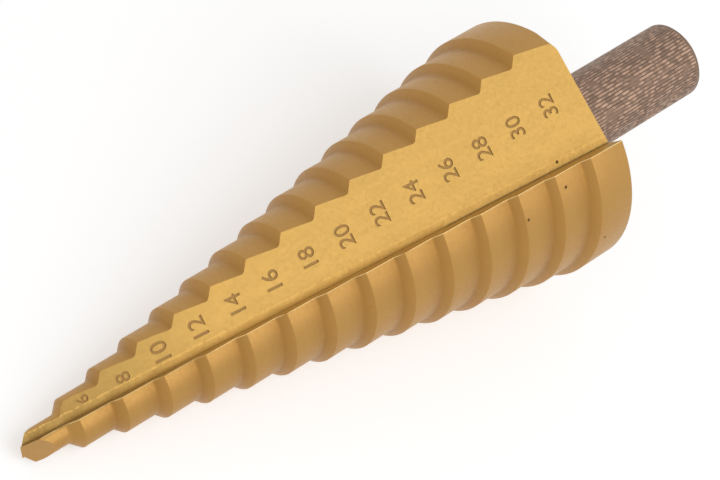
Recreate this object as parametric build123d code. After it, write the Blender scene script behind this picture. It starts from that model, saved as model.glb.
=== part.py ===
"""Step drill with two straight flutes, ground from one bar.

The drill is built along its own axis, with the chisel edge of the point at
Z = 0 and the shank at the top. It is then laid down on one flute, the way it
rests on a bench, with the origin on the bench under the middle of its box.
"""

from build123d import *
import math
import os

# Stepped body, millimetres
PILOT_DIAMETER = 3.6        # unmarked first step, behind the point
FIRST_DIAMETER = 6.0        # smallest marked step
DIAMETER_STEP = 2.0         # growth from one marked step to the next
STEP_COUNT = 14             # marked steps: 6, 8, 10 ... 32
PILOT_LENGTH = 6.3          # chisel edge to the front edge of the first marked step
STEP_LENGTH = 5.0           # front edge to front edge
LAST_STEP_LENGTH = 5.3      # front edge of the largest step to the back face
SHOULDER_ANGLE = 45.0       # slope of each shoulder, measured from the axis
SHOULDER_FILLET = 0.7       # hollow at the foot of each shoulder
RIM_CHAMFER = 0.25          # back rim of the largest step

# Shank, millimetres
SHANK_DIAMETER = 10.0
SHANK_LENGTH = 24.4         # behind the back face of the body
SHANK_CHAMFER = 0.5

# Flute: two flat walls that meet along a straight root. A wall's angle is its
# direction in the cross-section, its offset is its distance from the axis at
# the point, and its taper is the angle at which it leaves the axis.
FLAT_ANGLE = 49.6
FLAT_OFFSET = 0.52
FLAT_TAPER_ANGLE = 9.0
RAKE_ANGLE = 146.4
RAKE_OFFSET = 0.66
RAKE_TAPER_ANGLE = -2.1
FLUTE_COUNT = 2

# Shallow strip that the corner of the wheel leaves in the flat beside the root
RELIEF_WIDTH = 0.95
RELIEF_TILT_ANGLE = 9.0     # how much steeper the strip is than the flat
RELIEF_LENGTH = 54.4        # chisel edge to the end of the strip
RELIEF_RUN_OUT_ANGLE = 5.0  # slope of its end

# Back corner of each flat, eased where it meets the largest step
HEEL_CORNER_RADIUS = 0.8

# Point
POINT_ANGLE = 72.0          # included angle over the two lips
LIP_RELIEF_ANGLE = 46.0     # fall of each flank behind its lip

# Edge of the blocks that stand for the grinding wheels
WHEEL_SPAN = 400.0

UP = Vector(0, 0, 1)


def step_radius(index):
    """Radius of a step: 0 is the pilot, 1 the first marked step."""
    if index == 0:
        return PILOT_DIAMETER / 2
    return (FIRST_DIAMETER + (index - 1) * DIAMETER_STEP) / 2


def step_front(index):
    """Height of a step's front edge above the chisel edge."""
    if index == 0:
        return 0.0
    return PILOT_LENGTH + (index - 1) * STEP_LENGTH


LAST_STEP = STEP_COUNT
BODY_RADIUS = step_radius(LAST_STEP)
BODY_LENGTH = step_front(LAST_STEP) + LAST_STEP_LENGTH
OVERALL_LENGTH = BODY_LENGTH + SHANK_LENGTH
SHOULDER_SLOPE = math.tan(math.radians(SHOULDER_ANGLE))


def corners_at(face, places):
    """Corners of a flat face that lie at the given places."""
    return [
        corner
        for corner in face.vertices()
        if any(math.dist((corner.X, corner.Y), place) < 1e-6 for place in places)
    ]


def turned_section():
    """Half section of the blank: steps, shoulders, back face and shank."""
    outline = [(0, 0)]
    shoulder_feet = []
    for index in range(LAST_STEP + 1):
        radius = step_radius(index)
        outline.append((radius, step_front(index)))
        if index < LAST_STEP:
            shoulder_run = (step_radius(index + 1) - radius) / SHOULDER_SLOPE
            foot = (radius, step_front(index + 1) - shoulder_run)
            outline.append(foot)
            shoulder_feet.append(foot)
    shank_radius = SHANK_DIAMETER / 2
    outline += [
        (BODY_RADIUS, BODY_LENGTH - RIM_CHAMFER),
        (BODY_RADIUS - RIM_CHAMFER, BODY_LENGTH),
        (shank_radius, BODY_LENGTH),
        (shank_radius, OVERALL_LENGTH - SHANK_CHAMFER),
        (shank_radius - SHANK_CHAMFER, OVERALL_LENGTH),
        (0, OVERALL_LENGTH),
    ]
    face = make_face(Polyline(outline, close=True))
    return fillet(corners_at(face, shoulder_feet), SHOULDER_FILLET)


def turned_blank():
    """The blank before grinding, turned about the drill's axis."""
    return revolve(Plane.XZ * turned_section(), Axis.Z)


def block_above(plane):
    """A block that fills the side of a plane that its normal points to."""
    align = (Align.CENTER, Align.CENTER, Align.MIN)
    return plane * Box(WHEEL_SPAN, WHEEL_SPAN, WHEEL_SPAN, align=align)


def wall_plane(angle, offset, taper, side):
    """Plane of a flute wall, with its normal pointing into the flute."""
    turn = math.radians(angle)
    lean = math.radians(taper)
    along = Vector(math.cos(turn), math.sin(turn), 0)
    across = Vector(-math.sin(turn), math.cos(turn), 0) * side
    normal = across * math.cos(lean) - UP * math.sin(lean)
    return Plane(origin=across * offset, x_dir=along, z_dir=normal)


FLAT = wall_plane(FLAT_ANGLE, FLAT_OFFSET, FLAT_TAPER_ANGLE, 1)
RAKE = wall_plane(RAKE_ANGLE, RAKE_OFFSET, RAKE_TAPER_ANGLE, -1)


def root_point(height):
    """Where the two walls meet, at a height above the chisel edge."""
    level = Plane(origin=UP * height, z_dir=UP)
    planes = [FLAT, RAKE, level]
    reach = [plane.z_dir.dot(plane.origin) for plane in planes]
    total = Vector(0, 0, 0)
    for index in range(3):
        following = planes[(index + 1) % 3].z_dir
        last = planes[(index + 2) % 3].z_dir
        total += following.cross(last) * reach[index]
    return total * (1 / FLAT.z_dir.dot(RAKE.z_dir.cross(UP)))


def wall_edge(wall, radius, height):
    """Where a flute wall leaves a step of the given radius."""
    level = wall.z_dir.Z * height
    flat_normal = Vector(wall.z_dir.X, wall.z_dir.Y, 0)
    offset = (wall.z_dir.dot(wall.origin) - level) / flat_normal.length
    along = math.sqrt(radius**2 - offset**2)
    return flat_normal.normalized() * offset + wall.x_dir * along + UP * height


def flute():
    """The wedge that the wheel clears between the flat and the rake face."""
    return block_above(FLAT) & block_above(RAKE)


def root_relief():
    """The shallow strip beside the root, up to its run-out."""
    end = root_point(RELIEF_LENGTH)
    root_line = (end - root_point(0)).normalized()
    heelward = root_line.cross(FLAT.z_dir)
    heelward = heelward * math.copysign(1, heelward.dot(FLAT.x_dir))
    tilt = math.radians(RELIEF_TILT_ANGLE)
    slope = math.radians(RELIEF_RUN_OUT_ANGLE)
    strip_normal = FLAT.z_dir * math.cos(tilt) - heelward * math.sin(tilt)
    end_normal = FLAT.z_dir * math.cos(slope) - root_line * math.sin(slope)
    strip = Plane(origin=root_point(0) + heelward * RELIEF_WIDTH, z_dir=strip_normal)
    run_out = Plane(origin=end, z_dir=end_normal)
    return block_above(strip) & block_above(RAKE) & block_above(run_out)


def heel_easing():
    """Rounds the back corner of the flat, along the tangent of the rim."""
    corner = wall_edge(FLAT, BODY_RADIUS, BODY_LENGTH)
    outward = Vector(corner.X, corner.Y, 0).normalized()
    tangent = outward.cross(UP)
    centre = corner - (outward + UP) * HEEL_CORNER_RADIUS
    frame = Plane(origin=centre, x_dir=outward, z_dir=tangent)
    reach = 4 * HEEL_CORNER_RADIUS
    length = 2 * BODY_RADIUS
    low = (Align.MIN, Align.MIN, Align.CENTER)
    corner_block = Box(reach, reach, length, align=low)
    round_bar = Cylinder(HEEL_CORNER_RADIUS, length)
    return frame * (corner_block - round_bar)


def flank():
    """What is ground off the point behind one lip."""
    fall_along = 1 / math.tan(math.radians(POINT_ANGLE / 2))
    fall_behind = math.tan(math.radians(LIP_RELIEF_ANGLE))
    behind = -Vector(RAKE.z_dir.X, RAKE.z_dir.Y, 0).normalized()
    normal = RAKE.x_dir * fall_along + behind * fall_behind - UP
    return block_above(Plane(origin=(0, 0, 0), z_dir=normal.normalized()))


def ground_drill():
    """The blank with its flutes and point ground, standing on its point."""
    drill = turned_blank()
    cuts = [flute(), root_relief(), heel_easing(), flank()]
    for index in range(FLUTE_COUNT):
        turn = Rot(0, 0, index * 360 / FLUTE_COUNT)
        for cut in cuts:
            drill -= turn * cut
    return drill


def bench_plane():
    """Bench under the drill when it lies on the two edges of one flute.

    It touches the rake edge along the whole body and the heel edge at the
    largest step. X runs along the drill towards the shank.
    """
    first_lip = wall_edge(RAKE, step_radius(1), step_front(1))
    last_lip = wall_edge(RAKE, BODY_RADIUS, step_front(LAST_STEP))
    last_heel = wall_edge(FLAT, BODY_RADIUS, step_front(LAST_STEP))
    down = (last_lip - first_lip).cross(last_heel - first_lip).normalized()
    down = down * math.copysign(1, down.dot(last_heel))
    along = (UP - down * down.dot(UP)).normalized()
    return Plane(origin=first_lip, x_dir=along, z_dir=-down)


def resting_location(drill):
    """Move from the turning axis to the bench, centred under the drill."""
    turned = bench_plane().location.inverse()
    box = (turned * drill).bounding_box()
    return Pos(-box.center().X, -box.center().Y, -box.min.Z) * turned


os.makedirs("parts", exist_ok=True)
upright_drill = ground_drill()
step_drill = resting_location(upright_drill) * upright_drill
step_drill.label = "step_drill"
export_step(step_drill, "parts/step_drill.step")
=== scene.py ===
"""Dresses the step drill: a turned, fluted and coated body with a ridged shank.

The drill is made standing on its point, with its axis on +Z, and is laid on
the bench at the end. Sizes are in metres and repeat those of the solid part.
"""

import math
import random

import bpy
from mathutils import Matrix, Vector


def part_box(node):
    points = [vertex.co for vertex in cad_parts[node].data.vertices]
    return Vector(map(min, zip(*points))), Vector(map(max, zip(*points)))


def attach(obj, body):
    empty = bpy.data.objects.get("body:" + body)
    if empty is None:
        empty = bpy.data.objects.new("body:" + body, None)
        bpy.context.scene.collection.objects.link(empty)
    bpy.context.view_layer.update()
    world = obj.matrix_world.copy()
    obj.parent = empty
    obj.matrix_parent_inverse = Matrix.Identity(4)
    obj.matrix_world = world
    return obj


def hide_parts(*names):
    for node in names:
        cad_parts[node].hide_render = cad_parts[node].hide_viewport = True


bl_info = {
    "name": "Step Drill",
    "version": (1, 0, 0),
    "blender": (4, 5, 0),
    "location": "3D View > Sidebar > Step Drill",
    "description": "Makes a coated step drill with two straight flutes, on a bench",
    "category": "Object",
}

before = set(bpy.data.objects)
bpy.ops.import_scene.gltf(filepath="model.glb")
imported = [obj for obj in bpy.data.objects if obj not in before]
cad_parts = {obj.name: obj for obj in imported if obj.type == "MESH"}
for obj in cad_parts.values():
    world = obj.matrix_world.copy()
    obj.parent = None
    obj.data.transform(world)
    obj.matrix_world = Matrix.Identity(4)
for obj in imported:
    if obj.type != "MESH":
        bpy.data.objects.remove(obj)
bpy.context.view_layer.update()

MM = 0.001
UP = Vector((0, 0, 1))
HALF_TURN = Matrix.Rotation(math.pi, 3, "Z")
NODE = "step_drill"
BODY = "drill_body"
SHANK = "drill_shank"
FLUTES = 2

# Pits: the step each is in, the way behind its front edge in mm and the turn
# about the axis in degrees. One more lies on the flat, beside the root.
LAND_PITS = ((12, 0.4, 166.9), (13, 1.0, 160.4), (14, 1.0, 196.3))
FLAT_PIT_HEIGHT = 69.6 * MM
FLAT_PIT_ASIDE = 0.75 * MM

# Numbers, as shares: how far up its step each one stands, less a fall for every
# step, how far from root to edge, and the scale with its rise for every step
NUMBER_HEIGHT = 0.40
NUMBER_HEIGHT_FALL = 0.017
NUMBER_ASIDE = 0.5
FIRST_NUMBER_ASIDE = 0.66
NUMBER_SCALE = 0.55
NUMBER_SCALE_RISE = 0.15

# A number with a 4 is made bolder by four copies, each moved by these shares of
# the weight and cut less deep than the last by the stagger
COPY_MOVES = ((0.94, 0.34), (-0.34, 0.94), (-0.94, -0.34), (0.34, -0.94))
COPY_STAGGER = 0.006 * MM

# An edge is eased where it turns by this much, this close to a cutting face
KEEN_TURN = math.radians(38)
KEEN_REACH = 0.005 * MM

# How far the shank reaches into the body, and the rounding of its end chamfer
SHANK_ROOTED = 0.4 * MM
SHANK_END_ROUND = 0.15 * MM

# Shank grooves: rows of points along the shank, lengths of the pressed runs and
# of the gaps between them in rows, depths as shares of the full depth, and the
# share of the shank where the plain band lies
SHANK_ROWS = 56
GROOVE_RUNS = (2, 2, 3, 3, 4, 7, 12)
GROOVE_GAPS = (1, 1, 1, 2)
GROOVE_DEPTHS = (0.35, 0.6, 0.8, 1.0)
DRAWN_DEPTHS = (0.35, 0.6, 0.8, 1.0, 1.0)
PLAIN_BAND = (0.47, 0.53)

# Which finish a face gets: how squarely it lies along a wall or a flank of the
# point, how near to the wall, and how small it is if it belongs to a pit
ALONG_WALL = 0.985
ALONG_FLANK = 0.999
WALL_REACH = 0.45 * MM
PIT_FACE = 0.12 * MM

# Shares of a pit's radius, the largest step's radius, the width of the strip
# beside the root and the depth of the numbers that bound where each is looked for
PIT_MARGIN = 1.3
RIM_MARGIN = 0.93
STRIP_MARGIN = 1.05
DEPTH_MARGIN = 1.05


def measure(name, description, value, **settings):
    """A property for one number."""
    return bpy.props.FloatProperty(
        name=name, description=description, default=value, **settings
    )


def length(name, description, millimetres):
    """A length property with its default in millimetres."""
    settings = {"min": 0.0, "precision": 5, "subtype": "DISTANCE", "unit": "LENGTH"}
    return measure(name, description, millimetres * MM, **settings)


def angle(name, description, degrees):
    """An angle property with its default in degrees."""
    settings = {"subtype": "ANGLE", "unit": "ROTATION"}
    return measure(name, description, math.radians(degrees), **settings)


def colour(name, description, value):
    """A linear colour property."""
    return bpy.props.FloatVectorProperty(
        name=name,
        description=description,
        default=value,
        min=0.0,
        max=1.0,
        size=3,
        subtype="COLOR",
    )


def share(name, description, value):
    """A plain factor from 0 to 1."""
    return measure(name, description, value, min=0.0, max=1.0, subtype="FACTOR")


class StepDrillForm(bpy.types.PropertyGroup):
    """Sizes of the drill."""

    pilot_diameter: length("Pilot diameter", "Unmarked step behind the point", 3.6)
    first_diameter: length("First diameter", "Smallest marked step", 6.0)
    diameter_step: length("Diameter step", "Growth from one step to the next", 2.0)
    step_count: bpy.props.IntProperty(
        name="Steps", description="Marked steps", default=14, min=2, max=20
    )
    pilot_length: length("Pilot length", "Chisel edge to the first marked step", 6.3)
    step_length: length("Step length", "Front edge to front edge", 5.0)
    last_step_length: length("Last step length", "Largest step to the back face", 5.3)
    shoulder_angle: angle("Shoulder angle", "Slope of a shoulder from the axis", 45.0)
    shoulder_fillet: length("Shoulder fillet", "Hollow at a shoulder's foot", 0.7)
    edge_round: length("Edge round", "Rounding of each land's front edge", 0.14)
    edge_ease: length("Edge ease", "Ease of the cutting edges", 0.09)
    rim_chamfer: length("Rim chamfer", "Back rim of the largest step", 0.25)
    heel_radius: length("Heel radius", "Eased back corner of each flat", 0.8)
    flat_angle: angle("Flat angle", "Direction of the numbered flat", 49.6)
    flat_offset: length("Flat offset", "Flat to axis at the point", 0.52)
    flat_taper: angle("Flat taper", "Angle at which the flat leaves the axis", 9.0)
    rake_angle: angle("Rake angle", "Direction of the cutting face", 146.4)
    rake_offset: length("Rake offset", "Cutting face to axis at the point", 0.66)
    rake_taper: angle("Rake taper", "Angle at which the cutting face leaves it", -2.1)
    relief_width: length("Relief width", "Strip beside the flute's root", 0.95)
    relief_tilt: angle("Relief tilt", "Strip against the flat", 9.0)
    relief_length: length("Relief length", "Chisel edge to the strip's end", 54.4)
    relief_run_out: angle("Relief run-out", "Slope of the strip's end", 5.0)
    point_angle: angle("Point angle", "Included angle over the two lips", 72.0)
    lip_relief: angle("Lip relief", "Fall of each flank behind its lip", 46.0)
    shank_diameter: length("Shank diameter", "Over the ridges", 10.0)
    shank_length: length("Shank length", "Behind the body's back face", 24.4)
    shank_chamfer: length("Shank chamfer", "At the free end", 0.5)
    ridge_count: bpy.props.IntProperty(
        name="Shank ridges", description="Fine ridges round the shank", default=72
    )
    ridge_depth: length("Ridge depth", "Depth of the grooves between ridges", 0.10)
    digit_size: length("Digit size", "Letter size of the step diameters", 2.75)
    pit_size: length("Pit size", "Radius of a pit", 0.2)
    digit_depth: length("Digit depth", "Depth of the engraving", 0.12)
    digit_weight: length("Digit weight", "Added on each side of a stroke", 0.03)


class StepDrillFinish(bpy.types.PropertyGroup):
    """Colours and surface of the drill."""

    turned: colour("Turned coating", "Lands and shoulders", (0.54, 0.292, 0.074))
    ground: colour("Ground coating", "Walls of the flutes", (0.62, 0.37, 0.092))
    point: colour("Point coating", "Flanks of the point", (0.56, 0.315, 0.105))
    # The shoulder tone is painted shade on the shoulders, the faces that look towards
    # the point
    shoulder: colour("Shoulder tone", "Coat of the shoulders", (0.97, 0.94, 0.88))
    # The foot tone is painted shade in the hollow at each shoulder's foot
    foot: colour("Foot tone", "Darker coat at a shoulder's foot", (0.80, 0.74, 0.60))
    # The worn edge colour is wear with a painted highlight on the eased cutting edges
    edge: colour("Worn edge", "Cutting edges of the lands", (0.9, 0.66, 0.29))
    mark: colour("Number", "Burnt floor of the numbers", (0.40, 0.21, 0.065))
    shank: colour("Shank", "Browned steel on the ridges", (0.31, 0.20, 0.14))
    # The groove colour is painted shade between the ridges; it also draws the dark line
    # near the shank's end
    shank_groove: colour("Shank groove", "Between the ridges", (0.20, 0.13, 0.09))
    metallic: share("Metallic", "How much the coating mirrors like metal", 0.6)
    roughness: share("Roughness", "Satin of the coating", 0.42)


class StepDrillStage(bpy.types.PropertyGroup):
    """Bench, lamp and camera."""

    camera_place: bpy.props.FloatVectorProperty(
        name="Camera place",
        description="Where the camera stands",
        default=(-0.15339778, -0.03808941, 0.19736673),
        size=3,
        subtype="XYZ",
        unit="LENGTH",
    )
    camera_turn: bpy.props.FloatVectorProperty(
        name="Camera turn",
        description="Which way the camera looks",
        default=tuple(math.radians(v) for v in (31.43949, -25.64641, -40.2384)),
        size=3,
        subtype="EULER",
        unit="ROTATION",
    )
    focal_length: measure(
        "Focal length", "On a sensor 36 mm wide", 104.51266, unit="CAMERA"
    )
    key_power: measure("Key lamp", "Soft lamp over the bench", 0.9, unit="POWER")
    fill_level: share("Fill", "Even light from all round", 0.42)
    floor_colour: colour("Bench", "Pale bench", (0.8, 0.8, 0.8))
    floor_glow: share("Bench glow", "Lifts the bench to white", 0.53)


# --------------------------------------------------------------------------
# Measures


def form():
    """The drill's sizes."""
    return bpy.context.scene.step_drill_form


def finish():
    """The drill's colours."""
    return bpy.context.scene.step_drill_finish


def step_radius(index):
    """Radius of a step: 0 is the pilot, 1 the first marked step."""
    size = form()
    if index == 0:
        return size.pilot_diameter / 2
    return (size.first_diameter + (index - 1) * size.diameter_step) / 2


def step_front(index):
    """Height of a step's front edge above the chisel edge."""
    size = form()
    if index == 0:
        return 0.0
    return size.pilot_length + (index - 1) * size.step_length


def body_length():
    """Chisel edge to the back face."""
    return step_front(form().step_count) + form().last_step_length


def wall(turn, offset, taper, side):
    """A flute wall: a point on it, its normal into the flute, and its way out."""
    along = Vector((math.cos(turn), math.sin(turn), 0))
    across = Vector((-math.sin(turn), math.cos(turn), 0)) * side
    normal = across * math.cos(taper) - UP * math.sin(taper)
    return across * offset, normal, along


def flat_wall():
    """The numbered flat."""
    size = form()
    return wall(size.flat_angle, size.flat_offset, size.flat_taper, 1)


def rake_wall():
    """The cutting face."""
    size = form()
    return wall(size.rake_angle, size.rake_offset, size.rake_taper, -1)


def root_point(height):
    """Where the two walls of a flute meet at a height."""
    flat_place, flat_normal, _ = flat_wall()
    rake_place, rake_normal, _ = rake_wall()
    rows = Matrix((flat_normal, rake_normal, UP))
    reach = (flat_normal.dot(flat_place), rake_normal.dot(rake_place), height)
    return rows.inverted() @ Vector(reach)


def wall_edge(which, radius, height):
    """Where a flute wall leaves a step of the given radius."""
    place, normal, along = which
    level = Vector((normal.x, normal.y, 0))
    offset = (normal.dot(place) - normal.z * height) / level.length
    reach = math.sqrt(radius**2 - offset**2)
    return level.normalized() * offset + along * reach + UP * height


def root_direction():
    """Direction of a flute's root, towards the shank."""
    return (root_point(1.0) - root_point(0)).normalized()


def flank_normal():
    """Direction that a flank of the point faces."""
    size = form()
    _, normal, along = rake_wall()
    fall_along = 1 / math.tan(size.point_angle / 2)
    fall_behind = math.tan(size.lip_relief)
    behind = -Vector((normal.x, normal.y, 0)).normalized()
    return (along * fall_along + behind * fall_behind - UP).normalized()


def bench_turn():
    """Turn that lays the drill on its second flute, with the first one up."""
    size = form()
    last = size.step_count
    first_lip = wall_edge(rake_wall(), step_radius(1), step_front(1))
    last_lip = wall_edge(rake_wall(), step_radius(last), step_front(last))
    heel = wall_edge(flat_wall(), step_radius(last), step_front(last))
    down = (last_lip - first_lip).cross(heel - first_lip).normalized()
    if down.dot(heel) < 0:
        down.negate()
    ahead = (UP - down * down.dot(UP)).normalized()
    side = (-down).cross(ahead)
    return Matrix((ahead, side, -down)) @ HALF_TURN


def bench_place(turn):
    """Move that sets the turned drill where the solid part lies."""
    size = form()
    last = size.step_count
    end = body_length() + size.shank_length
    reach = size.shank_diameter / 2
    slope = math.sqrt(1 - (turn @ UP).x ** 2)
    face_x = (turn @ UP).x * end + (reach - size.shank_chamfer) * slope
    rim_x = (turn @ UP).x * (end - size.shank_chamfer) + reach * slope
    low = [wall_edge(flat_wall(), step_radius(last), step_front(last))]
    for index in range(1, last + 1):
        low.append(wall_edge(rake_wall(), step_radius(index), step_front(index)))
    lowest = min((turn @ HALF_TURN @ place).z for place in low)
    return Vector((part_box(NODE)[1].x - max(face_x, rim_x), 0, -lowest))


def rake_gap(place):
    """Distance from the nearer of the two cutting faces."""
    start, normal, _ = rake_wall()
    return min(
        abs((place - turn @ start).dot(turn @ normal))
        for turn in (Matrix.Identity(3), HALF_TURN)
    )


def pit_places():
    """Where the few small pits lie."""
    places = []
    for index, behind, turn in LAND_PITS:
        place = Vector((step_radius(index), 0, step_front(index) + behind * MM))
        places.append(Matrix.Rotation(math.radians(turn), 3, "Z") @ place)
    places.append(root_point(FLAT_PIT_HEIGHT) + flat_wall()[2] * FLAT_PIT_ASIDE)
    return places


def near_pit(place):
    """Whether a place is in one of the pits."""
    reach = PIT_MARGIN * form().pit_size
    return any((place - pit).length < reach for pit in pit_places())


# --------------------------------------------------------------------------
# Modelling helpers


def deselect():
    """Leaves nothing selected."""
    if bpy.context.object and bpy.context.object.mode != "OBJECT":
        bpy.ops.object.mode_set(mode="OBJECT")
    bpy.ops.object.select_all(action="DESELECT")


def activate(piece):
    """Makes a piece the only one selected."""
    deselect()
    piece.select_set(True)
    bpy.context.view_layer.objects.active = piece


def added(add, name, **settings):
    """Adds a ready-made form under a name."""
    deselect()
    add(**settings)
    piece = bpy.context.object
    piece.name = name
    return piece


def settle(piece, place=None):
    """Gives a piece its place, if one is named, and fixes it in the mesh."""
    activate(piece)
    if place is not None:
        piece.matrix_world = place
    bpy.ops.object.transform_apply(location=True, rotation=True, scale=True)


def make_sound(threshold):
    """Merges what coincides in the mesh being edited and turns its faces out."""
    bpy.ops.mesh.select_all(action="SELECT")
    bpy.ops.mesh.remove_doubles(threshold=threshold)
    bpy.ops.mesh.select_all(action="SELECT")
    bpy.ops.mesh.normals_make_consistent(inside=False)
    bpy.ops.object.mode_set(mode="OBJECT")


def named(name):
    """A piece by its name."""
    piece = bpy.data.objects.get(name)
    if piece is None:
        raise RuntimeError(f"{name} has not been made yet")
    return piece


def draw_profile(name, corners):
    """Draws a half section in the XZ plane by extruding one point."""
    piece = added(bpy.ops.mesh.primitive_plane_add, name, size=MM)
    piece.data.name = name
    bpy.ops.object.mode_set(mode="EDIT")
    bpy.ops.mesh.select_mode(type="VERT")
    bpy.ops.mesh.select_all(action="SELECT")
    bpy.ops.mesh.merge(type="CENTER")
    here = Vector((corners[0][0], 0, corners[0][1]))
    bpy.ops.transform.translate(value=here)
    for radius, height in corners[1:]:
        there = Vector((radius, 0, height))
        bpy.ops.mesh.extrude_vertices_move(
            TRANSFORM_OT_translate={"value": there - here}
        )
        here = there
    bpy.ops.object.mode_set(mode="OBJECT")
    return piece


def select_only(piece, kind, wanted):
    """Selects the points or edges that pass the test, and goes to edit mode."""
    activate(piece)
    bpy.ops.object.mode_set(mode="EDIT")
    bpy.ops.mesh.select_mode(type=kind)
    bpy.ops.mesh.select_all(action="DESELECT")
    bpy.ops.object.mode_set(mode="OBJECT")
    parts = piece.data.vertices if kind == "VERT" else piece.data.edges
    found = 0
    for part in parts:
        if wanted(part):
            part.select = True
            found += 1
    bpy.ops.object.mode_set(mode="EDIT")
    return found


def round_corners(piece, places, radius, turn, segments):
    """Rounds profile corners that turn by the given angle."""
    spots = [Vector((r, 0, z)) for r, z in places]
    found = select_only(
        piece,
        "VERT",
        lambda point: any((point.co - spot).length < 1e-6 for spot in spots),
    )
    if found != len(spots):
        raise RuntimeError(f"{piece.name}: {found} of {len(spots)} corners found")
    bpy.ops.mesh.bevel(
        offset_type="OFFSET",
        offset=radius * math.tan(turn / 2),
        segments=segments,
        affect="VERTICES",
        clamp_overlap=True,
    )
    bpy.ops.object.mode_set(mode="OBJECT")


def spin_profile(piece, steps):
    """Turns a half section into a closed body about +Z."""
    activate(piece)
    bpy.ops.object.mode_set(mode="EDIT")
    bpy.ops.mesh.select_all(action="SELECT")
    bpy.ops.mesh.spin(
        steps=steps, angle=2 * math.pi, center=(0, 0, 0), axis=(0, 0, 1)
    )
    make_sound(1e-6)


def wedge(name, planes):
    """A block cut back to the side of each plane that its normal points to."""
    block = added(bpy.ops.mesh.primitive_cube_add, name, size=0.4)
    bpy.ops.object.mode_set(mode="EDIT")
    for place, normal in planes:
        bpy.ops.mesh.select_all(action="SELECT")
        bpy.ops.mesh.bisect(
            plane_co=place, plane_no=normal, use_fill=True, clear_inner=True
        )
    bpy.ops.mesh.select_all(action="SELECT")
    bpy.ops.mesh.normals_make_consistent(inside=False)
    bpy.ops.object.mode_set(mode="OBJECT")
    return block


def turned_copy(piece, turns):
    """Gives a cutter its place on the other flute, in its own mesh."""
    activate(piece)
    bpy.ops.object.duplicate(linked=False)
    copy = bpy.context.object
    bpy.ops.transform.rotate(
        value=turns * 2 * math.pi, orient_axis="Z", center_override=(0, 0, 0)
    )
    settle(copy)
    return copy


def subtract(piece, cutter, crosses_itself=False):
    """Cuts one piece out of another and throws the cutter away."""
    activate(piece)
    bpy.ops.object.modifier_add(type="BOOLEAN")
    cut = piece.modifiers[-1]
    cut.operation = "DIFFERENCE"
    cut.solver = "EXACT"
    cut.use_self = crosses_itself
    cut.object = cutter
    bpy.ops.object.modifier_apply(modifier=cut.name)
    if len(piece.data.polygons) < 8:
        raise RuntimeError(f"cutting {cutter.name} left nothing of {piece.name}")
    mesh = cutter.data
    bpy.data.objects.remove(cutter)
    bpy.data.meshes.remove(mesh)


def subtract_round(piece, cutter):
    """Cuts the same form out of every flute."""
    copies = [turned_copy(cutter, turn / FLUTES) for turn in range(1, FLUTES)]
    for block in [cutter] + copies:
        subtract(piece, block)


# --------------------------------------------------------------------------
# Pieces


class STEPDRILL_OT_turn_body(bpy.types.Operator):
    """Turns the stepped body about its axis"""

    bl_idname = "step_drill.turn_body"
    bl_label = "Turn the Body"

    def execute(self, context):
        size = form()
        last = size.step_count
        back = body_length()
        fronts = []
        feet = []
        corners = [(0.0, 0.0)]
        for index in range(last + 1):
            radius = step_radius(index)
            corners.append((radius, step_front(index)))
            if index > 0:
                fronts.append(corners[-1])
            if index < last:
                run = (step_radius(index + 1) - radius) / math.tan(size.shoulder_angle)
                corners.append((radius, step_front(index + 1) - run))
                feet.append(corners[-1])
        rim = step_radius(last)
        corners.append((rim, back - size.rim_chamfer))
        corners.append((rim - size.rim_chamfer, back))
        rim_corners = corners[-2:]
        corners.append((0.0, back))
        piece = draw_profile(BODY, corners)
        slope = size.shoulder_angle
        round_corners(piece, feet, size.shoulder_fillet, slope, segments=5)
        round_corners(piece, fronts, size.edge_round, slope, segments=3)
        round_corners(piece, rim_corners, size.edge_round, math.pi / 4, segments=3)
        spin_profile(piece, steps=180)
        return {"FINISHED"}


class STEPDRILL_OT_grind_flutes(bpy.types.Operator):
    """Grinds the two flutes, the strips beside their roots and the heels"""

    bl_idname = "step_drill.grind_flutes"
    bl_label = "Grind the Flutes"

    def execute(self, context):
        size = form()
        piece = named(BODY)
        flat_place, flat_normal, flat_along = flat_wall()
        rake_place, rake_normal, _ = rake_wall()
        flute = wedge("flute", [(flat_place, flat_normal), (rake_place, rake_normal)])
        subtract_round(piece, flute)

        root = (root_point(size.relief_length) - root_point(0)).normalized()
        heelward = root.cross(flat_normal)
        if heelward.dot(flat_along) < 0:
            heelward.negate()
        tilt, run_out = size.relief_tilt, size.relief_run_out
        strip_normal = flat_normal * math.cos(tilt) - heelward * math.sin(tilt)
        end_normal = flat_normal * math.cos(run_out) - root * math.sin(run_out)
        strip_place = root_point(0) + heelward * size.relief_width
        planes = [
            (strip_place, strip_normal),
            (rake_place, rake_normal),
            (root_point(size.relief_length), end_normal),
        ]
        subtract_round(piece, wedge("relief", planes))
        subtract_round(piece, self.heel_cutter(size))
        return {"FINISHED"}

    def heel_cutter(self, size):
        """A corner block with a round bar taken out of it."""
        rim = step_radius(size.step_count)
        corner = wall_edge(flat_wall(), rim, body_length())
        outward = Vector((corner.x, corner.y, 0)).normalized()
        tangent = outward.cross(UP)
        centre = corner - (outward + UP) * size.heel_radius
        turn = Matrix((outward, tangent.cross(outward), tangent)).transposed()
        reach = 4 * size.heel_radius
        block = added(bpy.ops.mesh.primitive_cube_add, "heel", size=1.0)
        block.scale = (reach, reach, 2 * rim)
        block.location = (reach / 2, reach / 2, 0)
        settle(block)
        bar = {"vertices": 96, "radius": size.heel_radius, "depth": 3 * rim}
        subtract(block, added(bpy.ops.mesh.primitive_cylinder_add, "bar", **bar))
        block.matrix_world = Matrix.Translation(centre) @ turn.to_4x4()
        settle(block)
        return block


class STEPDRILL_OT_grind_point(bpy.types.Operator):
    """Grinds the two flanks of the point"""

    bl_idname = "step_drill.grind_point"
    bl_label = "Grind the Point"

    def execute(self, context):
        flank = wedge("flank", [(Vector((0, 0, 0)), flank_normal())])
        subtract_round(named(BODY), flank)
        return {"FINISHED"}


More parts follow.
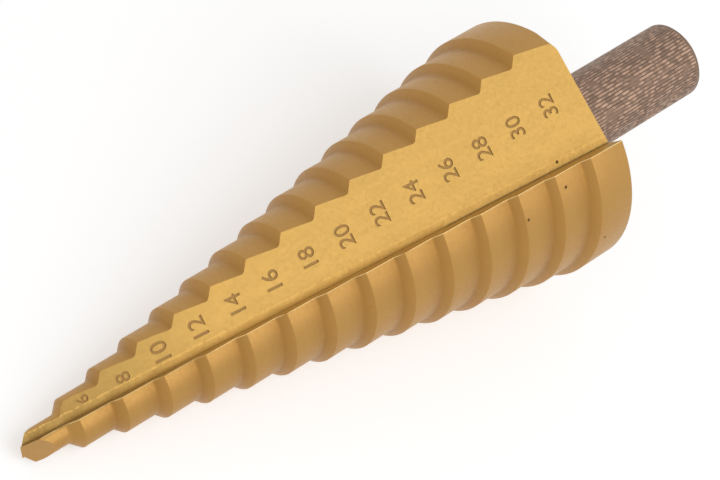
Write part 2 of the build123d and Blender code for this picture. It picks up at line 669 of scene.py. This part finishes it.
class STEPDRILL_OT_engrave_sizes(bpy.types.Operator):
    """Engraves each step's diameter beside it on the upper flat"""

    bl_idname = "step_drill.engrave_sizes"
    bl_label = "Engrave the Sizes"

    def execute(self, context):
        size = form()
        piece = named(BODY)
        _, normal, _ = flat_wall()
        root = root_direction()
        across = normal.cross(root)
        turn = Matrix((across, -root, normal)).transposed()
        digits = []
        for index in range(1, size.step_count + 1):
            up = NUMBER_HEIGHT - NUMBER_HEIGHT_FALL * index
            height = step_front(index) + size.step_length * up
            edge = wall_edge(flat_wall(), step_radius(index), height)
            aside = FIRST_NUMBER_ASIDE if index == 1 else NUMBER_ASIDE
            place = root_point(height).lerp(edge, aside)
            small = min(1.0, NUMBER_SCALE + NUMBER_SCALE_RISE * index)
            words = str(round(2 * step_radius(index) / MM))
            weight = size.digit_weight * small
            if "4" not in words:
                digits.append(self.number(words, place, turn, small, weight))
                continue
            # A letter's own offset closes the inside of a 4. The copies stand at
            # slightly different depths and are moved askew to the strokes, so
            # that no two of their faces coincide.
            for copy, (sideways, lengthwise) in enumerate(COPY_MOVES):
                shift = (across * sideways - root * lengthwise) * weight
                shift += normal * copy * COPY_STAGGER
                digits.append(self.number(words, place + shift, turn, small, 0.0))
        deselect()
        for digit in digits:
            digit.select_set(True)
        bpy.context.view_layer.objects.active = digits[0]
        bpy.ops.object.join()
        digits[0].name = "numbers"
        subtract(piece, digits[0], crosses_itself=True)
        return {"FINISHED"}

    def number(self, words, place, turn, small, weight):
        """One number as a block that stands across the flat's surface."""
        size = form()
        deselect()
        bpy.ops.object.text_add()
        text = bpy.context.object
        text.data.body = words
        text.data.size = size.digit_size * small
        text.data.align_x = "CENTER"
        text.data.align_y = "CENTER"
        text.data.resolution_u = 4
        text.data.extrude = size.digit_depth
        text.data.offset = weight
        bpy.ops.object.convert(target="MESH")
        text = bpy.context.object
        bpy.ops.object.mode_set(mode="EDIT")
        make_sound(1e-7)
        settle(text, Matrix.Translation(place) @ turn.to_4x4())
        return text


class STEPDRILL_OT_sink_pits(bpy.types.Operator):
    """Sinks the few small pits of the large lands and the flat"""

    bl_idname = "step_drill.sink_pits"
    bl_label = "Sink the Pits"

    def execute(self, context):
        size = form()
        piece = named(BODY)
        for place in pit_places():
            ball = {"subdivisions": 2, "radius": size.pit_size, "location": place}
            pit = added(bpy.ops.mesh.primitive_ico_sphere_add, "pit", **ball)
            settle(pit)
            subtract(piece, pit)
        return {"FINISHED"}


class STEPDRILL_OT_ease_edges(bpy.types.Operator):
    """Takes the keenness off the cutting edges"""

    bl_idname = "step_drill.ease_edges"
    bl_label = "Ease the Edges"

    def execute(self, context):
        piece = named(BODY)
        piece.data.materials.clear()
        # Two empty slots: the bevel puts its faces in the second one
        for _ in range(2):
            piece.data.materials.append(None)
        sharp = self.cutting_edges(piece)
        select_only(piece, "EDGE", lambda edge: edge.index in sharp)
        bpy.ops.mesh.bevel(
            offset=form().edge_ease,
            segments=2,
            affect="EDGES",
            clamp_overlap=False,
            material=1,
        )
        bpy.ops.object.mode_set(mode="OBJECT")
        return {"FINISHED"}

    def hollow(self, edge, ends, faces):
        """Whether two faces meet in an inside corner."""
        order = list(faces[1].vertices)
        start, end = ends
        following = order[(order.index(edge.vertices[0]) + 1) % len(order)]
        if following != edge.vertices[1]:
            start, end = end, start
        inward = faces[1].normal.cross(end - start)
        return inward.dot(faces[0].normal) > 0

    def cutting_edges(self, piece):
        """Outside corners where a cutting face ends, behind the point."""
        size = form()
        beside = {}
        for face in piece.data.polygons:
            for key in face.edge_keys:
                beside.setdefault(key, []).append(face)
        sharp = set()
        for edge in piece.data.edges:
            faces = beside.get(tuple(sorted(edge.vertices)), [])
            if len(faces) != 2:
                continue
            if faces[0].normal.dot(faces[1].normal) > math.cos(KEEN_TURN):
                continue
            ends = [piece.data.vertices[index].co for index in edge.vertices]
            if (ends[0].z + ends[1].z) / 2 < size.pilot_length / 2:
                continue
            if max(rake_gap(end) for end in ends) > KEEN_REACH:
                continue
            if not self.hollow(edge, ends, faces):
                sharp.add(edge.index)
        return sharp


class STEPDRILL_OT_ridge_shank(bpy.types.Operator):
    """Turns the shank and presses its fine ridges"""

    bl_idname = "step_drill.ridge_shank"
    bl_label = "Ridge the Shank"

    def execute(self, context):
        size = form()
        start = body_length() - SHANK_ROOTED
        end = body_length() + size.shank_length
        radius = size.shank_diameter / 2
        straight = end - size.shank_chamfer - start
        corners = [(0.0, start)]
        corners += [
            (radius, start + straight * row / SHANK_ROWS)
            for row in range(SHANK_ROWS + 1)
        ]
        corners.append((radius - size.shank_chamfer, end))
        corners.append((0.0, end))
        piece = draw_profile(SHANK, corners)
        rim = corners[-3:-1]
        round_corners(piece, rim, SHANK_END_ROUND, math.pi / 4, segments=3)
        spin_profile(piece, steps=2 * size.ridge_count)
        self.press_ridges(piece, start, straight / SHANK_ROWS)
        return {"FINISHED"}

    def press_ridges(self, piece, start, pitch):
        """Presses broken grooves in two bands, with a plain band between."""
        size = form()
        chance = random.Random(7)
        radius = size.shank_diameter / 2
        depths = {}
        for groove in range(size.ridge_count):
            row = 0
            while row < SHANK_ROWS - 1:
                run = chance.choice(GROOVE_RUNS)
                depth = chance.choice(DRAWN_DEPTHS)
                for place in range(row, min(row + run, SHANK_ROWS - 1)):
                    if not PLAIN_BAND[0] < place / SHANK_ROWS < PLAIN_BAND[1]:
                        depths[(groove, place)] = depth
                row += run + chance.choice(GROOVE_GAPS)
        for depth in GROOVE_DEPTHS:

            def wanted(point):
                co = point.co
                if co.xy.length < radius - 1e-6:
                    return False
                turn = math.atan2(co.y, co.x) / (2 * math.pi) * 2 * size.ridge_count
                spoke = round(turn) % (2 * size.ridge_count)
                if spoke % 2:
                    return False
                row = round((co.z - start) / pitch)
                return depths.get((spoke // 2, row)) == depth

            select_only(piece, "VERT", wanted)
            shrink = 1 - depth * size.ridge_depth / radius
            bpy.ops.transform.resize(
                value=(shrink, shrink, 1.0), center_override=(0, 0, 0)
            )
            bpy.ops.object.mode_set(mode="OBJECT")


# --------------------------------------------------------------------------
# Finishes


def new_finish(name):
    """An empty finish and the parts of its node tree."""
    material = bpy.data.materials.new(name)
    material.use_nodes = True
    tree = material.node_tree
    return material, tree, tree.nodes["Principled BSDF"]


def node(tree, kind, inputs, **values):
    """Adds a node, sets its properties and gives its inputs sockets or constants."""
    made = tree.nodes.new(kind)
    for key, value in values.items():
        setattr(made, key, value)
    for key, value in inputs.items():
        if isinstance(value, bpy.types.NodeSocket):
            tree.links.new(value, made.inputs[key])
        else:
            made.inputs[key].default_value = value
    return made


def drill_coordinates(tree):
    """Object coordinates brought back to the drill standing on its point."""
    turn = bench_turn()
    inputs = {
        "Vector": node(tree, "ShaderNodeTexCoord", {}).outputs["Object"],
        "Location": bench_place(turn),
        "Rotation": turn.to_euler(),
    }
    stand = node(tree, "ShaderNodeMapping", inputs, vector_type="TEXTURE")
    return stand.outputs["Vector"]


def computed(tree, operation, *values):
    """The result of a sum on sockets and plain numbers."""
    inputs = dict(enumerate(values))
    return node(tree, "ShaderNodeMath", inputs, operation=operation).outputs[0]


def split(tree, vector):
    """The three parts of a vector."""
    return tuple(node(tree, "ShaderNodeSeparateXYZ", {"Vector": vector}).outputs)


def stretched(tree, vector, scale):
    """Coordinates stretched for a grain."""
    inputs = {"Vector": vector, "Scale": scale}
    return node(tree, "ShaderNodeMapping", inputs).outputs["Vector"]


def noise(tree, vector, scale, detail=3.0, roughness=0.55):
    """A noise value from 0 to 1."""
    inputs = {
        "Vector": vector, "Scale": scale, "Detail": detail, "Roughness": roughness
    }
    return node(tree, "ShaderNodeTexNoise", inputs).outputs["Fac"]


def ranged(tree, value, low, high, to_low, to_high, clamp=True):
    """Maps a value to another range."""
    inputs = {
        "Value": value,
        "From Min": low,
        "From Max": high,
        "To Min": to_low,
        "To Max": to_high,
    }
    return node(tree, "ShaderNodeMapRange", inputs, clamp=clamp).outputs["Result"]


def blended(tree, factor, first, second, blend="MIX"):
    """Mixes two colours, each a socket or a plain colour."""
    inputs = {0: factor}
    for key, value in ((6, first), (7, second)):
        plain = not isinstance(value, bpy.types.NodeSocket)
        inputs[key] = (*value, 1.0) if plain else value
    made = node(tree, "ShaderNodeMix", inputs, data_type="RGBA", blend_type=blend)
    return made.outputs[2]


def bumped(tree, height, strength, distance, normal=None):
    """A bump from a height value, on top of another where one is given."""
    inputs = {"Height": height, "Strength": strength, "Distance": distance}
    if normal is not None:
        inputs["Normal"] = normal
    return node(tree, "ShaderNodeBump", inputs).outputs["Normal"]


def shaded(value, factor):
    """A plain colour made darker or lighter."""
    return tuple(min(1.0, part * factor) for part in value)


def vector_sum(tree, operation, *values):
    """The outputs of a sum on vectors, each a socket or a plain vector."""
    inputs = dict(enumerate(values))
    return node(tree, "ShaderNodeVectorMath", inputs, operation=operation).outputs


def facing(tree, direction):
    """How far the surface faces a direction, from -1 to 1."""
    normal = node(tree, "ShaderNodeNewGeometry", {}).outputs["Normal"]
    return vector_sum(tree, "DOT_PRODUCT", normal, direction)["Value"]


def turning_rings(tree, place):
    """Fine rings round the drill's axis, for the faces square to it."""
    level = stretched(tree, place, (1.0, 1.0, 0.0))
    radius = vector_sum(tree, "LENGTH", level)["Value"]
    across = node(tree, "ShaderNodeCombineXYZ", {"X": radius})
    return noise(tree, across.outputs["Vector"], 1900.0, 4.0, 0.7)


def from_line(tree, place, start, direction):
    """Distance from a straight line."""
    offset = vector_sum(tree, "SUBTRACT", place, start)["Vector"]
    across = vector_sum(tree, "CROSS_PRODUCT", offset, direction)["Vector"]
    return vector_sum(tree, "LENGTH", across)["Value"]


def from_roots(tree, place, aside):
    """Distance from the nearer of the lines that run so far beside each root."""
    start = root_point(0) + flat_wall()[2] * aside
    lines = [
        from_line(tree, place, turn @ start, turn @ root_direction())
        for turn in (Matrix.Identity(3), HALF_TURN)
    ]
    return computed(tree, "MINIMUM", *lines)


def root_shade(tree, place):
    """Painted shade: 0 in the corner of either flute, rising to 1 just outside it."""
    return ranged(tree, from_roots(tree, place, 0), 0.04 * MM, 0.22 * MM, 0.0, 1.0)


def worn_line(tree, place):
    """Share of painted highlight along the ragged edge of the strip beside either root.
    """
    gap = from_roots(tree, place, form().relief_width)
    ragged = ranged(tree, noise(tree, place, 3200.0, 3.0), 0.3, 0.7, 0.0, 0.25 * MM)
    reach = computed(tree, "SUBTRACT", ragged, gap)
    return ranged(tree, reach, 0.0, 0.15 * MM, 0.0, 0.6)


def foot_shade(tree, place):
    """Painted shade along each step, deepest in the hollow where a land runs into the
    next shoulder.
    """
    size = form()
    last = size.step_count
    steps = ranged(
        tree, split(tree, place)[2], size.pilot_length, step_front(last), 1.0, last
    )
    along = computed(tree, "FRACT", steps)
    ramp = node(tree, "ShaderNodeValToRGB", {"Fac": along})
    tones = ((0.0, 0.0), (0.3, 0.0), (0.6, 0.4), (0.8, 1.0), (0.86, 0.55), (1.0, 0.1))
    while len(ramp.color_ramp.elements) < len(tones):
        ramp.color_ramp.elements.new(0.5)
    for stop, (position, depth) in zip(ramp.color_ramp.elements, tones):
        stop.position = position
        shade = [1 - depth * (1 - part) for part in finish().foot]
        stop.color = (*shade, 1.0)
    return ramp.outputs["Color"]


def point_shade(tree, place):
    """Painted shade: 0 at the point, rising to 1 further up the body."""
    return ranged(tree, split(tree, place)[2], 2 * MM, 24 * MM, 0.0, 1.0)


def coating(name, base, grain_scale, grain_depth):
    """Satin gold-coloured coating with cloudy tone, grain and fine specks."""
    look = finish()
    material, tree, shader = new_finish(name)
    place = drill_coordinates(tree)
    clouds = noise(tree, place, 130.0, 4.0)
    specks = noise(tree, place, 2600.0, 2.0)
    grain = noise(tree, stretched(tree, place, grain_scale), 1.0, 2.0)
    tone = blended(
        tree,
        ranged(tree, clouds, 0.3, 0.7, 0.0, 1.0),
        shaded(base, 0.97),
        shaded(base, 1.03),
    )
    for pattern, low, high in ((grain, 0.35, 0.65), (specks, 0.6, 0.75)):
        dark = ranged(tree, pattern, low, high, 0.0, 0.12)
        tone = blended(tree, dark, tone, shaded(base, 0.75))
    if name == "turned_coating":
        # Painted shade: the faces towards the point, the shoulders, are darkened by the
        # shoulder tone
        towards_point = facing(tree, -(bench_turn() @ UP))
        painted_shoulder_shade = ranged(tree, towards_point, 0.05, 0.7, 0.0, 1.0)
        tone = blended(tree, painted_shoulder_shade, tone, look.shoulder, "MULTIPLY")
        # Painted shade at each shoulder's foot
        tone = blended(tree, 1.0, tone, foot_shade(tree, place), "MULTIPLY")
        back = body_length()
        height = split(tree, place)[2]
        on_back = ranged(tree, height, back - 0.04 * MM, back - 0.01 * MM, 0.0, 1.0)
        rings = computed(tree, "MULTIPLY", turning_rings(tree, place), on_back)
        tone = blended(
            tree, ranged(tree, rings, 0.4, 0.6, 0.0, 0.5), tone, shaded(base, 0.72)
        )
    elif name == "ground_coating":
        # Painted shade, darker towards the point
        tone = blended(tree, point_shade(tree, place), shaded(base, 0.6), tone)
        # Painted highlight along the edge of the strip beside each root
        tone = blended(tree, worn_line(tree, place), tone, shaded(base, 1.25))
        # Painted shade in the corner of each flute
        tone = blended(tree, root_shade(tree, place), shaded(base, 0.35), tone)
    tree.links.new(tone, shader.inputs["Base Color"])
    tree.links.new(
        ranged(tree, specks, 0.3, 0.7, look.roughness - 0.06, look.roughness + 0.08),
        shader.inputs["Roughness"],
    )
    shader.inputs["Metallic"].default_value = look.metallic
    fine = bumped(tree, specks, 0.35, 0.02 * MM)
    lines = bumped(tree, grain, grain_depth, 0.03 * MM, fine)
    if name == "turned_coating":
        lines = bumped(tree, rings, 0.5, 0.03 * MM, lines)
    tree.links.new(lines, shader.inputs["Normal"])
    return material


def mark_finish(name, painted_light_level):
    """Burnt metal of the engraved numbers, lifted or darkened by a painted light level.
    """
    look = finish()
    material, tree, shader = new_finish(name)
    place = drill_coordinates(tree)
    patches = noise(tree, place, 1800.0, 3.0)
    tone = blended(
        tree,
        ranged(tree, patches, 0.4, 0.62, 0.0, 1.0),
        shaded(look.mark, painted_light_level),
        shaded(look.ground, 0.62 * painted_light_level),
    )
    tree.links.new(tone, shader.inputs["Base Color"])
    shader.inputs["Metallic"].default_value = 0.4
    shader.inputs["Roughness"].default_value = 0.6
    return material


def shank_finish():
    """Browned steel with painted shade in the grooves, dashes of wear with a painted
    highlight along the ridges, and a plain end.
    """
    look = finish()
    size = form()
    material, tree, shader = new_finish("browned_shank")
    place = drill_coordinates(tree)
    x, y, z = split(tree, place)
    turn = computed(tree, "ARCTAN2", y, x)
    half = size.ridge_count / 2
    around = ranged(tree, turn, -math.pi, math.pi, -half, half)
    pitch = math.pi * size.shank_diameter / size.ridge_count
    end = body_length() + size.shank_length
    along = ranged(tree, z, end - pitch, end, -1.0, 0.0, clamp=False)

    ridge = {"X": along, "Y": computed(tree, "FLOOR", around)}
    unrolled = node(tree, "ShaderNodeCombineXYZ", ridge).outputs["Vector"]
    rows = stretched(tree, unrolled, (0.45, 7.31, 1.0))
    dashes = ranged(tree, noise(tree, rows, 1.0, 1.0), 0.44, 0.60, 0.0, 1.0)
    from_groove = computed(tree, "PINGPONG", around, 0.5)
    on_ridge = ranged(tree, from_groove, 0.1, 0.22, 0.0, 1.0)

    clouds = noise(tree, place, 420.0, 3.0)
    streaks = noise(tree, stretched(tree, place, (3600.0, 3600.0, 600.0)), 1.0, 3.0)
    streaky = ranged(tree, streaks, 0.35, 0.65, 0.0, 1.0)
    plain = blended(tree, streaky, shaded(look.shank, 0.85), look.shank)
    # Dashes along the ridges: wear with a painted highlight
    rubbed_and_highlit = blended(tree, dashes, plain, shaded(look.shank, 1.8))
    # Painted shade in the grooves between the ridges
    tone = blended(tree, on_ridge, shaded(look.shank_groove, 0.75), rubbed_and_highlit)
    tone = blended(tree, ranged(tree, clouds, 0.56, 0.64, 0.0, 0.9), tone, plain)
    for start, stop, after in (
        (-1.9, -1.8, shaded(look.shank, 0.9)),
        (-1.5, -1.35, look.shank_groove),
        (-1.2, -1.1, shaded(look.shank, 1.1)),
    ):
        tone = blended(tree, ranged(tree, along, start, stop, 0.0, 1.0), tone, after)
    on_end = ranged(tree, along, -0.06, -0.02, 0.0, 1.0)
    rings = computed(tree, "MULTIPLY", turning_rings(tree, place), on_end)
    dark_rings = ranged(tree, rings, 0.4, 0.6, 0.0, 0.7)
    tone = blended(tree, dark_rings, tone, shaded(look.shank, 0.6))
    tree.links.new(tone, shader.inputs["Base Color"])
    shader.inputs["Metallic"].default_value = 0.6
    satin = ranged(tree, streaks, 0.3, 0.7, 0.38, 0.55)
    tree.links.new(satin, shader.inputs["Roughness"])
    lines = bumped(tree, streaks, 0.4, 0.03 * MM)
    lines = bumped(tree, rings, 0.5, 0.03 * MM, lines)
    tree.links.new(lines, shader.inputs["Normal"])
    return material


def assign(piece, materials, choose):
    """Gives every face the finish that the chooser names."""
    chosen = [choose(face) for face in piece.data.polygons]
    piece.data.materials.clear()
    order = {}
    for name, material in materials.items():
        order[name] = len(order)
        piece.data.materials.append(material)
    for face, name in zip(piece.data.polygons, chosen):
        face.material_index = order[name]


class STEPDRILL_OT_coat(bpy.types.Operator):
    """Coats the body and browns the shank"""

    bl_idname = "step_drill.coat"
    bl_label = "Coat the Drill"

    def execute(self, context):
        look = finish()
        size = form()
        body = named(BODY)
        walls = [flat_wall()[:2], rake_wall()[:2]]
        walls += [(HALF_TURN @ place, HALF_TURN @ normal) for place, normal in walls]
        flat_place, flat_normal, flat_along = flat_wall()
        deepest = DEPTH_MARGIN * size.digit_depth
        flanks = [flank_normal(), HALF_TURN @ flank_normal()]

        def choose(face):
            if face.material_index == 1:
                return "edge"
            if sunk(face):
                # Number walls take a darker copy of the burnt colour as painted shade,
                # floors a lighter one as painted light
                level = abs(face.normal.dot(flat_normal)) > 0.5
                return "mark_floor" if level else "mark"
            # A pit's small faces take the darker number-wall copy: painted shade
            if near_pit(face.center) and face.area < PIT_FACE**2:
                return "mark"
            if face.center.z < size.pilot_length / 2:
                if any(face.normal.dot(normal) > ALONG_FLANK for normal in flanks):
                    return "point"
            for place, normal in walls:
                if face.normal.dot(normal) > ALONG_WALL:
                    if abs((face.center - place).dot(normal)) < WALL_REACH:
                        return "ground"
            return "turned"

        def sunk(face):
            """Whether a face belongs to an engraved number."""
            centre = face.center
            if not 1e-6 < (flat_place - centre).dot(flat_normal) < deepest:
                return False
            beside = (centre - root_point(centre.z)).dot(flat_along)
            if beside < STRIP_MARGIN * size.relief_width:
                return False
            if centre.xy.length > RIM_MARGIN * step_radius(size.step_count):
                return False
            corners = [body.data.vertices[index].co for index in face.vertices]
            depths = [(flat_place - co).dot(flat_normal) for co in corners]
            return -1e-6 < min(depths) and max(depths) < deepest

        coats = {
            "turned": coating("turned_coating", look.turned, (60.0, 60.0, 9000.0), 0.3),
            "ground": coating("ground_coating", look.ground, (900.0, 900.0, 60.0), 0.3),
            # The eased cutting edges: wear with a painted highlight
            "edge": coating("worn_and_highlit_edge", look.edge, (400.0, 400.0, 400.0), 0.1),
            "point": coating("point_coating", look.point, (900.0, 900.0, 60.0), 0.3),
            # Number walls in painted shade, floors in painted light
            "mark": mark_finish("number_walls_painted_shade", 0.7),
            "mark_floor": mark_finish("number_floors_painted_light", 1.25),
        }
        assign(body, coats, choose)
        assign(named(SHANK), {"shank": shank_finish()}, lambda face: "shank")
        return {"FINISHED"}


class STEPDRILL_OT_lay_down(bpy.types.Operator):
    """Lays the drill on the bench and ties it to the solid part"""

    bl_idname = "step_drill.lay_down"
    bl_label = "Lay the Drill Down"

    def execute(self, context):
        turn = bench_turn()
        rest = Matrix.Translation(bench_place(turn)) @ turn.to_4x4()
        for name in (BODY, SHANK):
            piece = named(name)
            settle(piece, rest)
            bpy.ops.object.shade_smooth_by_angle(angle=math.radians(28))
            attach(piece, "root")
        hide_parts(NODE)
        return {"FINISHED"}


class STEPDRILL_OT_stage(bpy.types.Operator):
    """Sets the bench, the lamp, the room and the camera"""

    bl_idname = "step_drill.stage"
    bl_label = "Set the Stage"

    def execute(self, context):
        stage = context.scene.step_drill_stage
        bench = added(bpy.ops.mesh.primitive_plane_add, "bench", size=6.0)
        bench.data.materials.append(self.bench_finish(stage))

        hung = {"type": "AREA", "location": (0.02, -0.30, 0.45)}
        lamp = added(bpy.ops.object.light_add, "key_lamp", **hung)
        lamp.data.shape = "RECTANGLE"
        lamp.data.size = 0.5
        lamp.data.size_y = 0.5
        lamp.data.energy = stage.key_power
        lamp.rotation_euler = (-lamp.location).to_track_quat("-Z", "Y").to_euler()

        world = bpy.data.worlds.new("room")
        context.scene.world = world
        world.use_nodes = True
        self.light_room(world.node_tree, stage)

        camera = bpy.data.objects.new("camera", bpy.data.cameras.new("camera"))
        context.scene.collection.objects.link(camera)
        camera.location = stage.camera_place
        camera.rotation_euler = stage.camera_turn
        camera.data.lens = stage.focal_length
        camera.data.sensor_width = 36.0
        camera.data.clip_start = 0.01
        context.scene.camera = camera
        context.scene.view_settings.view_transform = "Standard"
        return {"FINISHED"}

    def seen(self, tree):
        """1 on rays that see the background, straight or in metal."""
        path = node(tree, "ShaderNodeLightPath", {}).outputs
        straight = computed(
            tree, "MAXIMUM", path["Is Camera Ray"], path["Is Glossy Ray"]
        )
        return computed(tree, "MAXIMUM", straight, path["Is Transmission Ray"])

    def bench_finish(self, stage):
        """Pale bench that keeps the drill's shadow."""
        material, tree, shader = new_finish("pale_bench")
        shader.inputs["Roughness"].default_value = 0.9
        shader.inputs["Specular IOR Level"].default_value = 0.0
        place = node(tree, "ShaderNodeTexCoord", {}).outputs["Object"]
        patches = noise(tree, place, 3.0)
        tone = blended(
            tree, patches, shaded(stage.floor_colour, 0.99), stage.floor_colour
        )
        tree.links.new(tone, shader.inputs["Base Color"])
        glow = computed(tree, "MULTIPLY", self.seen(tree), stage.floor_glow)
        shader.inputs["Emission Color"].default_value = (1, 1, 1, 1)
        tree.links.new(glow, shader.inputs["Emission Strength"])
        return material

    def light_room(self, tree, stage):
        """Even room light, white where the background is seen."""
        background = tree.nodes["Background"]
        background.inputs["Color"].default_value = (1, 1, 1, 1)
        level = ranged(tree, self.seen(tree), 0.0, 1.0, stage.fill_level, 1.0)
        tree.links.new(level, background.inputs["Strength"])


class STEPDRILL_PT_panel(bpy.types.Panel):
    """Lists the drill's sizes, finishes and the steps that make it"""

    bl_idname = "STEPDRILL_PT_panel"
    bl_label = "Step Drill"
    bl_space_type = "VIEW_3D"
    bl_region_type = "UI"
    bl_category = "Step Drill"

    def draw(self, context):
        layout = self.layout
        for group in GROUPS:
            settings = getattr(context.scene, group)
            box = layout.box()
            for name in settings.__annotations__:
                box.prop(settings, name)
        for operator in OPERATORS:
            layout.operator(operator.bl_idname)


GROUPS = {
    "step_drill_form": StepDrillForm,
    "step_drill_finish": StepDrillFinish,
    "step_drill_stage": StepDrillStage,
}
OPERATORS = (
    STEPDRILL_OT_turn_body,
    STEPDRILL_OT_grind_flutes,
    STEPDRILL_OT_grind_point,
    STEPDRILL_OT_engrave_sizes,
    STEPDRILL_OT_sink_pits,
    STEPDRILL_OT_ease_edges,
    STEPDRILL_OT_ridge_shank,
    STEPDRILL_OT_coat,
    STEPDRILL_OT_lay_down,
    STEPDRILL_OT_stage,
)


def register():
    """Makes the settings, operators and panel known to Blender."""
    for kind in (*GROUPS.values(), *OPERATORS, STEPDRILL_PT_panel):
        bpy.utils.register_class(kind)
    for name, group in GROUPS.items():
        setattr(bpy.types.Scene, name, bpy.props.PointerProperty(type=group))


def unregister():
    """Takes them out again."""
    for name in GROUPS:
        delattr(bpy.types.Scene, name)
    for kind in (STEPDRILL_PT_panel, *OPERATORS, *GROUPS.values()):
        bpy.utils.unregister_class(kind)


def main():
    """Makes the drill and its stage."""
    register()
    bpy.ops.step_drill.turn_body()
    bpy.ops.step_drill.grind_flutes()
    bpy.ops.step_drill.grind_point()
    bpy.ops.step_drill.engrave_sizes()
    bpy.ops.step_drill.sink_pits()
    bpy.ops.step_drill.ease_edges()
    bpy.ops.step_drill.ridge_shank()
    bpy.ops.step_drill.coat()
    bpy.ops.step_drill.lay_down()
    bpy.ops.step_drill.stage()


if __name__ == "__main__":
    main()
